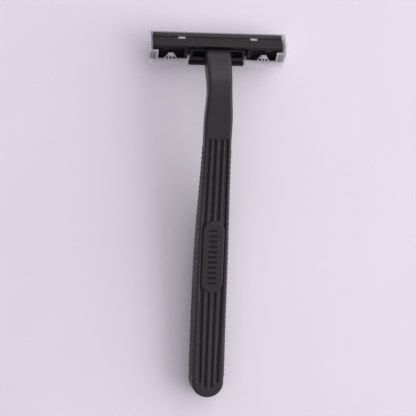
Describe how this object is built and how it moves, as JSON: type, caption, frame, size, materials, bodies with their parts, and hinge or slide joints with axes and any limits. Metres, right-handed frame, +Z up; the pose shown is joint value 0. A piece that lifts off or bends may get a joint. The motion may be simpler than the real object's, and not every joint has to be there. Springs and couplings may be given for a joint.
{
  "type": "cartridge razor",
  "caption": "Slim ribbed razor handle with an angled twin-blade cartridge snapped to its frame and a clear slide-on blade cover.",
  "frame": {"origin": "centre of the underside of the bounding box, on the surface the razor rests on", "axes": "+X along the cartridge, +Y from the handle's tail towards the head, +Z up, out of the razor's back"},
  "size_m": [0.0434, 0.117, 0.0191],
  "materials": {
    "handle_plastic": "moulded satin black",
    "cartridge_plastic": "moulded satin black",
    "blade_steel": "ground stainless",
    "spacer_metal": "rolled sheet",
    "strip_polymer": "waxy matte",
    "clear_plastic": "clear moulded polystyrene"
  },
  "bodies": {
    "handle": {"handle": "handle_plastic"},
    "cartridge": {"cartridge_platform": "cartridge_plastic", "lower_blade": "blade_steel", "blade_spacer": "spacer_metal", "upper_blade": "blade_steel", "blade_cap": "cartridge_plastic", "lubricating_strip": "strip_polymer"},
    "cover": {"protective_cover": "clear_plastic"}
  },
  "joints": [
    {"name": "cartridge_release", "type": "slide", "parent": "handle", "child": "cartridge", "axis": [0, 0.7431, -0.6691], "range_m": [0, 0.012]},
    {"name": "cover_slide", "type": "slide", "parent": "cartridge", "child": "cover", "axis": [0, -0.6691, -0.7431], "range_m": [0, 0.014]}
  ]
}
